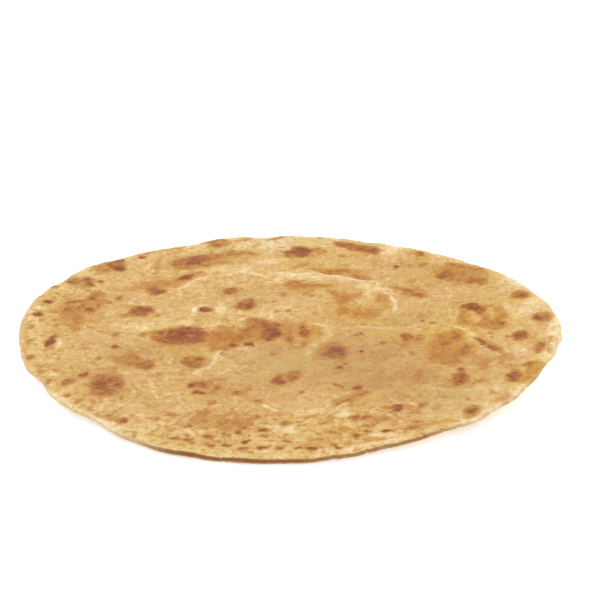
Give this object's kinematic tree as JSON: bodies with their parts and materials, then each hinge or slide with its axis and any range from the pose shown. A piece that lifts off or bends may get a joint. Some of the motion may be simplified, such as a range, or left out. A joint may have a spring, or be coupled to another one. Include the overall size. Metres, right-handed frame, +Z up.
{
  "type": "chapati flatbread",
  "caption": "Thin round unleavened wheat flatbread, dry-roasted, gently curled up at two sides, with a thin rounded rim.",
  "frame": {"origin": "on the table, under the middle of the bread's bounding box, at the underside of its flat resting patch", "axes": "+Z up, out of the shown face; the two curled-up ends lie along -X and +X; the camera's side of the bread is -Y"},
  "size_m": [0.2008, 0.1994, 0.0091],
  "materials": {
    "bread": "matt roasted wheat dough, golden tan with red-brown toasted spots and pale flour"
  },
  "bodies": {
    "root": {"chapati": "bread"}
  },
  "joints": []
}
